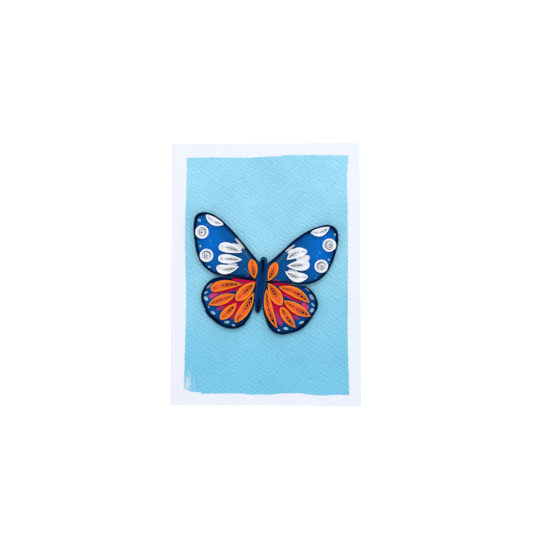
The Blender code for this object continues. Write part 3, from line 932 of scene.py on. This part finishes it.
def cold_pressed_card(settings):
    """Cotton watercolour card, cold pressed: matt, with a fine tooth between the felt's ridges."""
    material, tree, shader, place = new_material("cold_pressed_card", roughness=0.92)
    card = settings.card_colour
    valley = add_node(tree, "ShaderNodeAttribute", {"attribute_name": GRAIN_ATTRIBUTE})

    # The pulp is a little darker in places. The valleys are darker too: painted shade.
    pulp = add_node(tree, "ShaderNodeTexNoise", {"Scale": PULP_SCALE, "Detail": 4}, {"Vector": place})
    uneven = add_node(
        tree,
        "ShaderNodeMix",
        {"data_type": "RGBA", MIX_FIRST: tinted(card, 1.0), MIX_SECOND: tinted(card, 0.96)},
        {MIX_FACTOR: pulp.outputs["Fac"]},
    )
    depth = add_node(tree, "ShaderNodeMath", {"operation": "MULTIPLY", 1: 0.05}, {0: valley.outputs["Fac"]})
    shaded = add_node(
        tree,
        "ShaderNodeMix",
        {"data_type": "RGBA", MIX_SECOND: tinted(card, 0.6)},
        {MIX_FACTOR: depth.outputs[0], MIX_FIRST: uneven.outputs[MIX_RESULT]},
    )
    tree.links.new(shaded.outputs[MIX_RESULT], shader.inputs["Base Color"])

    # The tooth breaks up what little the card shines
    tooth = add_node(tree, "ShaderNodeTexNoise", {"Scale": CARD_TOOTH_SCALE, "Detail": 3}, {"Vector": place})
    bump = add_node(
        tree, "ShaderNodeBump", {"Strength": 0.35, "Distance": 0.03 * MM}, {"Height": tooth.outputs["Fac"]}
    )
    tree.links.new(bump.outputs["Normal"], shader.inputs["Normal"])
    return material


def watercolour_wash(settings):
    """Watercolour over cotton card: pigment that gathers in the grain, darkened there with painted shade as
    well, and pools lower down.
    """
    material, tree, shader, place = new_material("watercolour_wash", roughness=0.88)
    card = settings.card_colour
    low_sky = settings.sky_low_colour
    valley = add_node(tree, "ShaderNodeAttribute", {"attribute_name": GRAIN_ATTRIBUTE})

    # The wash deepens from above the card's middle to near its bottom
    spots = add_node(tree, "ShaderNodeSeparateXYZ", {}, {"Vector": place})
    low = add_node(
        tree,
        "ShaderNodeMapRange",
        {"interpolation_type": "SMOOTHSTEP", "From Min": 0.08 * SKY_HEIGHT, "From Max": -0.42 * SKY_HEIGHT},
        {"Value": spots.outputs["Y"]},
    )
    wash = add_node(
        tree,
        "ShaderNodeMix",
        {"data_type": "RGBA", MIX_FIRST: tinted(settings.sky_colour, 1.07), MIX_SECOND: tinted(low_sky, 1.05)},
        {MIX_FACTOR: low.outputs["Result"]},
    )

    # It has dried a little darker where it pooled. The valleys are darker, partly pigment gathered there and
    # partly painted shade.
    cloud = add_node(
        tree, "ShaderNodeTexNoise", {"Scale": POOL_SCALE, "Detail": 5, "Roughness": 0.6}, {"Vector": place}
    )
    pool = add_node(
        tree,
        "ShaderNodeMapRange",
        {"From Min": 0.35, "From Max": 0.70, "To Max": 0.5},
        {"Value": cloud.outputs["Fac"]},
    )
    valley_pigment_and_shade = add_node(tree, "ShaderNodeMath", {"operation": "MULTIPLY", 1: 0.38}, {0: valley.outputs["Fac"]})

    # Specks of the card's tooth stay bare
    speck = add_node(
        tree, "ShaderNodeTexNoise", {"Scale": SPECK_SCALE, "Detail": 4, "Roughness": 0.65}, {"Vector": place}
    )
    dry = add_node(
        tree,
        "ShaderNodeMapRange",
        {"From Min": 0.60, "From Max": 0.80, "To Max": 0.25},
        {"Value": speck.outputs["Fac"]},
    )

    # In one corner a nearly dry brush has left streaks of bare card
    corner = add_node(
        tree,
        "ShaderNodeMapping",
        {"vector_type": "TEXTURE", "Location": (*DRY_CORNER, CARD_TOP), "Scale": DRY_REACH},
        {"Vector": place},
    )
    near = add_node(
        tree, "ShaderNodeTexGradient", {"gradient_type": "SPHERICAL"}, {"Vector": corner.outputs["Vector"]}
    )
    bristles = add_node(
        tree,
        "ShaderNodeMapping",
        {"vector_type": "TEXTURE", "Scale": (1, BRISTLE_STRETCH, 1), "Rotation": (0, 0, BRISTLE_LEAN)},
        {"Vector": place},
    )
    streaks = add_node(
        tree,
        "ShaderNodeTexNoise",
        {"Scale": BRISTLE_SCALE, "Detail": 3},
        {"Vector": bristles.outputs["Vector"]},
    )
    bare = add_node(
        tree,
        "ShaderNodeMapRange",
        {"From Min": 0.40, "From Max": 0.62, "To Max": 0.8},
        {"Value": streaks.outputs["Fac"]},
    )
    dragged = add_node(
        tree,
        "ShaderNodeMath",
        {"operation": "MULTIPLY", "use_clamp": True},
        {0: bare.outputs["Result"], 1: near.outputs["Fac"]},
    )

    # These are laid over the wash one after the other
    colour = wash
    for tint, where in (
        (tinted(low_sky, 0.82), pool.outputs["Result"]),
        (tinted(low_sky, 0.55), valley_pigment_and_shade.outputs[0]),
        (tinted(card, 1.0), dry.outputs["Result"]),
        (tinted(card, 1.0), dragged.outputs[0]),
    ):
        colour = add_node(
            tree,
            "ShaderNodeMix",
            {"data_type": "RGBA", MIX_SECOND: tint},
            {MIX_FACTOR: where, MIX_FIRST: colour.outputs[MIX_RESULT]},
        )
    tree.links.new(colour.outputs[MIX_RESULT], shader.inputs["Base Color"])
    bump = add_node(
        tree, "ShaderNodeBump", {"Strength": 0.3, "Distance": 0.03 * MM}, {"Height": speck.outputs["Fac"]}
    )
    tree.links.new(bump.outputs["Normal"], shader.inputs["Normal"])
    return material


def opaque_paint(name, colour, dark, centre=(0, 0), reach=STROKE_REACH):
    """Gouache, opaque and matt, brushed thin enough for the card's ridges to show through."""
    material, tree, shader, place = new_material(name, roughness=0.72)

    # Its colour is fullest round one place and where the brush left more of it
    glow = add_node(
        tree,
        "ShaderNodeMapping",
        {"vector_type": "TEXTURE", "Location": (*centre, CARD_TOP), "Scale": (*reach, 1)},
        {"Vector": place},
    )
    light = add_node(
        tree, "ShaderNodeTexGradient", {"gradient_type": "SPHERICAL"}, {"Vector": glow.outputs["Vector"]}
    )
    brush = add_node(
        tree, "ShaderNodeTexNoise", {"Scale": BRUSH_SCALE, "Detail": 5, "Roughness": 0.6}, {"Vector": place}
    )
    patchy = add_node(
        tree, "ShaderNodeMath", {"operation": "MULTIPLY_ADD", 1: 0.9, 2: -0.3}, {0: brush.outputs["Fac"]}
    )
    blend = add_node(
        tree,
        "ShaderNodeMath",
        {"operation": "ADD", "use_clamp": True},
        {0: light.outputs["Fac"], 1: patchy.outputs[0]},
    )
    mixed = add_node(
        tree,
        "ShaderNodeMix",
        {"data_type": "RGBA", MIX_FIRST: (*dark, 1), MIX_SECOND: (*colour, 1)},
        {MIX_FACTOR: blend.outputs[0]},
    )
    tree.links.new(mixed.outputs[MIX_RESULT], shader.inputs["Base Color"])

    # The card's main ridges show through it
    ridges = add_node(
        tree,
        "ShaderNodeMapping",
        {"vector_type": "TEXTURE", "Rotation": (0, 0, RIDGE_WAYS[0])},
        {"Vector": place},
    )
    wave = add_node(
        tree,
        "ShaderNodeTexWave",
        {"Scale": FELT_SCALE, "Distortion": 4, "Detail": 2, "Detail Scale": 1},
        {"Vector": ridges.outputs["Vector"]},
    )
    bump = add_node(
        tree, "ShaderNodeBump", {"Strength": 0.8, "Distance": 0.06 * MM}, {"Height": wave.outputs["Fac"]}
    )
    tree.links.new(bump.outputs["Normal"], shader.inputs["Normal"])
    return material


def quilling_paper(name, edge, face, shade):
    """Dyed wood-free paper, cut in strips: matt, its cut edge paler than its faces.

    The faces are darker, partly by their own dye and partly as painted shade for the strips' walls and the gaps
    between turns. The turns wound further in get darker edges too: painted shade for the light that reaches them
    only after bouncing between dyed faces.
    """
    material, tree, shader, place = new_material(name, roughness=0.85)
    fibres = add_node(tree, "ShaderNodeTexNoise", {"Scale": FIBRE_SCALE, "Detail": 4}, {"Vector": place})
    # The inner turns' cut edges shift to the shade colour: painted shade
    wound = add_node(tree, "ShaderNodeAttribute", {"attribute_name": INNER_SHADE_ATTRIBUTE})
    inward = add_node(tree, "ShaderNodeMapRange", {"From Max": 0.25}, {"Value": wound.outputs["Fac"]})
    deep = add_node(
        tree,
        "ShaderNodeMix",
        {"data_type": "RGBA", MIX_FIRST: (*edge, 1), MIX_SECOND: (*shade, 1)},
        {MIX_FACTOR: inward.outputs["Result"]},
    )

    # A face that looks up is a cut edge, and the others take the face colour: darker, partly their own dye and
    # partly painted shade
    facing = add_node(tree, "ShaderNodeNewGeometry")
    up = add_node(tree, "ShaderNodeSeparateXYZ", {}, {"Vector": facing.outputs["True Normal"]})
    cut = add_node(tree, "ShaderNodeMapRange", {"From Min": 0.5, "From Max": 0.9}, {"Value": up.outputs["Z"]})
    dyed = add_node(
        tree,
        "ShaderNodeMix",
        {"data_type": "RGBA", MIX_FIRST: (*face, 1)},
        {MIX_FACTOR: cut.outputs["Result"], MIX_SECOND: deep.outputs[MIX_RESULT]},
    )
    thin = add_node(tree, "ShaderNodeMath", {"operation": "MULTIPLY", 1: 0.12}, {0: fibres.outputs["Fac"]})
    flecked = add_node(
        tree,
        "ShaderNodeMix",
        {"data_type": "RGBA", MIX_SECOND: tinted(face, 0.7)},
        {MIX_FACTOR: thin.outputs[0], MIX_FIRST: dyed.outputs[MIX_RESULT]},
    )
    tree.links.new(flecked.outputs[MIX_RESULT], shader.inputs["Base Color"])
    bump = add_node(
        tree, "ShaderNodeBump", {"Strength": 0.25, "Distance": 0.02 * MM}, {"Height": fibres.outputs["Fac"]}
    )
    tree.links.new(bump.outputs["Normal"], shader.inputs["Normal"])
    return material


def material_of(name, maker, *given):
    """A material by name, made the first time that it is asked for."""
    return bpy.data.materials.get(name) or maker(name, *given)


def paper_material(context, paper):
    """The material of a strip, from its paper's three colours."""
    settings = context.scene.quilled_paper
    colours = [getattr(settings, f"{paper}{part}_colour") for part in ("", "_face", "_shade")]
    return material_of(f"{paper}_quilling_paper", quilling_paper, *colours)


def stroke_material(context, paint):
    """The material of a stroke, darker where it is brushed thin."""
    colour = getattr(context.scene.quilled_paint, f"{paint}_colour")
    dark = tinted(colour, THIN_CRIMSON_SHARE if paint == "crimson" else THIN_SHARE)[:3]
    return material_of(f"{paint}_gouache", opaque_paint, colour, dark)


def add_coil(context, name, paper, way, depths, thickness, seed):
    """A coil's turns of paper, in the place of its solid."""
    strip = add_strip(way, STRIP_BASE, uneven_top(way, depths, seed), thickness, depths)
    finish_piece(strip, f"{name}_turns", paper_material(context, paper), [name])


class QUILLING_OT_card(bpy.types.Operator):
    """Lay the cold-pressed card"""

    bl_idname = "quilling.card"
    bl_label = "Lay the card"

    def execute(self, context):
        settings = context.scene.quilled_card
        low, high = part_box("backing_card")
        size = high - low

        def place(u, v):
            x = low.x + u * size.x
            y = low.y + v * size.y
            worn = CARD_EDGE_WEAR if min(u, v, 1 - u, 1 - v) <= 0 else 0.0
            return (x, y, CARD_TOP - settings.grain_depth * grain(x, y, settings.ridge_pitch) - worn)

        columns = round(size.x / CARD_GRID_STEP)
        rows = round(size.y / CARD_GRID_STEP)
        card = close_below(add_sheet(columns, rows, place), low.z)
        note_grain(card, settings.ridge_pitch)
        finish_piece(card, "watercolour_card", cold_pressed_card(settings), ["backing_card"])
        return {"FINISHED"}


def along_side(side, share):
    """The place at a share of the way along one side of the sky."""
    points = SKY_SIDES_SHARES[side]
    axis = 0 if side in ("bottom", "top") else 1
    first = points[0][axis]
    target = first + share * (points[-1][axis] - first)
    for start, end in zip(points, points[1:]):
        if target <= end[axis]:
            part = (target - start[axis]) / (end[axis] - start[axis])
            return Vector(start).lerp(Vector(end), part)
    return Vector(points[-1])


class QUILLING_OT_sky(bpy.types.Operator):
    """Wash the sky over the card"""

    bl_idname = "quilling.sky"
    bl_label = "Wash the sky"

    def execute(self, context):
        settings = context.scene.quilled_card
        corners = [along_side(side, share) for side in ("bottom", "top") for share in (0, 1)]
        film = SKY_TOP - CARD_TOP

        def place(u, v):
            across = along_side("bottom", u).lerp(along_side("top", u), v)
            upward = along_side("left", v).lerp(along_side("right", v), u)
            square = corners[0].lerp(corners[1], u).lerp(corners[2].lerp(corners[3], u), v)
            spot = across + upward - square
            x = spot.x * SKY_WIDTH + SKY_X
            y = spot.y * SKY_HEIGHT + SKY_Y
            edge = min(u * SKY_WIDTH, (1 - u) * SKY_WIDTH, v * SKY_HEIGHT, (1 - v) * SKY_HEIGHT)
            ragged = max(0.0, 1 - edge / SKY_EDGE_REACH) * SKY_EDGE_RAGGED
            shift = [smooth_noise(x, y, SKY_EDGE_RIPPLE, seed) for seed in RAGGED_SEEDS]
            x += ragged * shift[0]
            y += ragged * shift[1]
            return (x, y, CARD_TOP + film - settings.grain_depth * grain(x, y, settings.ridge_pitch))

        columns = round(SKY_WIDTH / SKY_GRID_STEP)
        rows = round(SKY_HEIGHT / SKY_GRID_STEP)
        sky = close_below(add_sheet(columns, rows, place), CARD_TOP - settings.grain_depth)
        note_grain(sky, settings.ridge_pitch)
        finish_piece(sky, "sky_paint", watercolour_wash(settings), ["sky_wash"])
        return {"FINISHED"}


class QUILLING_OT_grounds(bpy.types.Operator):
    """Paint the wings' blue ground and the dark line inside each edging, partly painted shade"""

    bl_idname = "quilling.grounds"
    bl_label = "Paint the wings"

    def execute(self, context):
        settings = context.scene.quilled_paint
        for wing in WINGS:
            kind = wing.split("_")[1]
            colour = getattr(settings, f"{kind}_colour")
            dark = getattr(settings, f"{kind}_dark_colour")
            centre = on_card(spans(BRIGHT_SPOTS_SHARES[wing]))
            paint = material_of(f"{wing}_gouache", opaque_paint, colour, dark, centre, BRIGHT_REACH)
            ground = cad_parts[f"{wing}_ground"]
            ground.data.materials.clear()
            ground.data.materials.append(paint)
            self.outline(context, wing)
        return {"FINISHED"}

    def outline(self, context, wing):
        """Brushes the dark line along the inside of a wing's edging: partly a real border, partly painted shade.
        """
        edge = smooth_edge([spans(point) for point in WING_EDGE_SHARES[wing]])
        last = len(edge) - 1
        sides = []
        for side in (0, 1):
            insets = []
            for x, y in edge:
                waver = 1 + OUTLINE_WAVER_SHARE * smooth_noise(x, y, OUTLINE_WAVE, OUTLINE_SEED + side)
                insets.append(OUTLINE_INSET + side * OUTLINE_WIDTH * waver)
            sides.append([on_card(point) for point in inside_of(edge, insets)])

        def place(u, v):
            x, y = sides[round(v)][round(u * last)]
            return (x, y, GROUND_TOPS[wing] + OUTLINE_HEIGHT)

        line = close_below(add_sheet(last, 1, place), GROUND_TOPS[wing])
        finish_piece(line, f"{wing}_outline_paint", stroke_material(context, "deep"))


class QUILLING_OT_strokes(bpy.types.Operator):
    """Brush the crimson fans, the white strokes and the small dabs"""

    bl_idname = "quilling.strokes"
    bl_label = "Brush the strokes"

    def execute(self, context):
        for wing, strokes in STROKE_SHARES.items():
            by_paint = {}
            for index, (paint, start, end, width, bow) in enumerate(strokes):
                stroke = add_stroke(
                    spans(start),
                    spans(end),
                    width * WING_SPAN,
                    bow * WING_SPAN,
                    GROUND_TOPS[wing] + index * STROKE_LIFT,
                    STROKE_HEIGHT + index * STROKE_LIFT,
                    seed_of(STROKE_SEEDS, index),
                )
                by_paint.setdefault(paint, []).append(stroke)
            for paint, pieces in by_paint.items():
                stands_for = [f"{wing}_fan"] if paint == "crimson" else []
                finish_piece(
                    join(pieces),
                    f"{wing}_{paint}_strokes",
                    stroke_material(context, paint),
                    stands_for,
                )
        return {"FINISHED"}


def edging_spread(wing, share):
    """How far an edging's innermost layer stands away at a share of its way."""
    depth = 0.0
    for middle, reach, most in EDGING_SPREADS[wing]:
        if abs(share - middle) < reach:
            depth = max(depth, most * math.cos(math.pi / 2 * (share - middle) / reach) ** 2)
    return depth


class QUILLING_OT_edgings(bpy.types.Operator):
    """Bend the layered edgings round the wings"""

    bl_idname = "quilling.edgings"
    bl_label = "Bend the edgings"

    def execute(self, context):
        pitch = EDGING_THICKNESS / EDGING_LAYERS
        thickness = pitch - EDGING_AIR
        for order, wing in enumerate(WINGS):
            edge = smooth_edge([spans(point) for point in WING_EDGE_SHARES[wing]])
            layers = []
            for layer in range(EDGING_LAYERS):
                seed = order * EDGING_SEED_STEP + layer * LAYER_SEED_STEP
                insets = []
                for index, (x, y) in enumerate(edge):
                    drift = smooth_noise(x, y, LAYER_WAVE, seed)
                    spread = edging_spread(wing, index / (len(edge) - 1)) * layer / (EDGING_LAYERS - 1)
                    insets.append(layer * pitch + EDGING_AIR * (0.5 + 0.5 * drift) + spread)
                way = [on_card(point) for point in inside_of(edge, insets)]
                # Painted shade darkens each layer's edge, the second one less, so that a paler line shows
                # between them
                depths = [EDGING_SHADES_SHARES[layer]] * len(way)
                layers.append(add_strip(way, STRIP_BASE, layer_top(way, seed), thickness, depths))
            paper = paper_material(context, "navy")
            finish_piece(join(layers), f"{wing}_edging_layers", paper, [f"{wing}_edging"])
        return {"FINISHED"}


class QUILLING_OT_pinched_coils(bpy.types.Operator):
    """Roll the pinched coils: teardrops, petals, half moons and the body"""

    bl_idname = "quilling.pinched_coils"
    bl_label = "Roll the pinched coils"

    def execute(self, context):
        for order, (name, pinch, paper, tail, tip, width, bow) in enumerate(PINCHED_COIL_SHARES):
            start = spans(tail)
            end = spans(tip)
            seed = seed_of(PINCHED_SEEDS, order)
            thickness = context.scene.quilled_paper.thickness * PAPER_SHARES[paper]
            way, depths = pinched_way(
                math.dist(start, end),
                width * WING_SPAN,
                bow * WING_SPAN,
                pinch,
                WINDINGS[name],
                thickness,
                LOOSE_AIR_SHARES[paper],
                seed,
            )
            if pinch == "body":
                depths = [BODY_SHADE_SHARE * depth for depth in depths]
            turn = math.atan2(end[1] - start[1], end[0] - start[0])
            add_coil(context, name, paper, turned(way, start, turn), depths, thickness, seed)
        return {"FINISHED"}


class QUILLING_OT_round_coils(bpy.types.Operator):
    """Roll the round coils and seat them against the edging"""

    bl_idname = "quilling.round_coils"
    bl_label = "Roll the round coils"

    def execute(self, context):
        thickness = context.scene.quilled_paper.thickness
        reach = EDGING_THICKNESS + COIL_CLEARANCE + ROUND_COIL_DIAMETER / 2
        for order, (name, spot, way_in, end_way, slip_way) in enumerate(ROUND_COIL_SHARES):
            x, y = spans(spot)
            angle = math.radians(way_in)
            centre = (x + reach * math.cos(angle), y + reach * math.sin(angle))
            ways = (math.radians(slip_way), math.radians(end_way))
            way, depths = round_way(ROUND_COIL_DIAMETER, *ways, thickness)
            seed = seed_of(ROUND_SEEDS, order)
            add_coil(context, name, "white", turned(way, centre, 0), depths, thickness, seed)
        return {"FINISHED"}


def seen_rays(tree):
    """1 for rays that the camera sees, straight or by way of gloss or glass."""
    path = add_node(tree, "ShaderNodeLightPath")
    seen = path.outputs["Is Camera Ray"]
    for ray in ("Is Glossy Ray", "Is Transmission Ray"):
        either = add_node(tree, "ShaderNodeMath", {"operation": "MAXIMUM"}, {0: seen, 1: path.outputs[ray]})
        seen = either.outputs[0]
    return seen


def pale_floor():
    """Matt white board. It glows a little where it is seen, so that it looks white and keeps its shadow."""
    material = bpy.data.materials.new("pale_floor")
    material.use_nodes = True
    tree = material.node_tree
    shader = tree.nodes["Principled BSDF"]
    shader.inputs["Base Color"].default_value = (FLOOR_GREY, FLOOR_GREY, FLOOR_GREY, 1)
    shader.inputs["Roughness"].default_value = 0.9
    shader.inputs["Emission Color"].default_value = (1, 1, 1, 1)
    glow = add_node(tree, "ShaderNodeMath", {"operation": "MULTIPLY", 1: FLOOR_GLOW}, {0: seen_rays(tree)})
    tree.links.new(glow.outputs[0], shader.inputs["Emission Strength"])
    return material


def even_daylight(tree, strength):
    """White light from all round, and plain white where it is seen."""
    tree.nodes.clear()
    level = add_node(
        tree, "ShaderNodeMapRange", {"To Min": strength, "To Max": 1.0}, {"Value": seen_rays(tree)}
    )
    light = add_node(
        tree, "ShaderNodeBackground", {"Color": (1, 1, 1, 1)}, {"Strength": level.outputs["Result"]}
    )
    add_node(tree, "ShaderNodeOutputWorld", {}, {"Surface": light.outputs["Background"]})


class QUILLING_OT_stage(bpy.types.Operator):
    """Set the floor, the light and the camera"""

    bl_idname = "quilling.stage"
    bl_label = "Set the stage"

    def execute(self, context):
        settings = context.scene.quilled_stage
        scene = context.scene
        scene.view_settings.view_transform = "Standard"
        deselect_all()
        bpy.ops.mesh.primitive_plane_add(size=FLOOR_SIZE, location=(0, 0, CAD_LOW.z - FLOOR_GAP))
        floor = context.object
        floor.name = "floor"
        floor.data.materials.append(pale_floor())

        world = scene.world or bpy.data.worlds.new("daylight")
        scene.world = world
        world.use_nodes = True
        even_daylight(world.node_tree, settings.daylight)

        deselect_all()
        bpy.ops.object.light_add(type="AREA", location=WINDOW_PLACE)
        window = context.object
        window.name = "window_light"
        window.data.energy = settings.window
        window.data.size = WINDOW_SIZE
        window.rotation_euler = (-window.location).to_track_quat("-Z", "Y").to_euler()

        bpy.ops.object.camera_add(location=settings.camera_place, rotation=settings.camera_turn)
        camera = context.object
        camera.name = "camera_over_card"
        camera.data.lens = settings.lens
        camera.data.sensor_width = SENSOR_WIDTH
        camera.data.clip_start = CLIP_START
        scene.camera = camera
        return {"FINISHED"}


class QUILLING_PT_panel(bpy.types.Panel):
    """Sizes, colours and the steps in the order they are made"""

    bl_idname = "QUILLING_PT_panel"
    bl_label = "Quilled butterfly"
    bl_space_type = "VIEW_3D"
    bl_region_type = "UI"
    bl_category = "Quilling"

    def draw(self, context):
        for group in GROUPS:
            settings = getattr(context.scene, group)
            box = self.layout.box()
            for name in settings.__annotations__:
                box.prop(settings, name)
        for operator in OPERATORS:
            self.layout.operator(operator.bl_idname)


GROUPS = {
    "quilled_card": CardSettings,
    "quilled_paint": PaintSettings,
    "quilled_paper": PaperSettings,
    "quilled_stage": StageSettings,
}

OPERATORS = (
    QUILLING_OT_stage,
    QUILLING_OT_card,
    QUILLING_OT_sky,
    QUILLING_OT_grounds,
    QUILLING_OT_strokes,
    QUILLING_OT_edgings,
    QUILLING_OT_pinched_coils,
    QUILLING_OT_round_coils,
)

CLASSES = (*GROUPS.values(), *OPERATORS, QUILLING_PT_panel)


def register():
    for cls in CLASSES:
        bpy.utils.register_class(cls)
    for name, cls in GROUPS.items():
        setattr(bpy.types.Scene, name, PointerProperty(type=cls))


def unregister():
    for name in GROUPS:
        delattr(bpy.types.Scene, name)
    for cls in reversed(CLASSES):
        bpy.utils.unregister_class(cls)


def main():
    register()
    bpy.ops.quilling.stage()
    bpy.ops.quilling.card()
    bpy.ops.quilling.sky()
    bpy.ops.quilling.grounds()
    bpy.ops.quilling.strokes()
    bpy.ops.quilling.edgings()
    bpy.ops.quilling.pinched_coils()
    bpy.ops.quilling.round_coils()


if __name__ == "__main__":
    main()
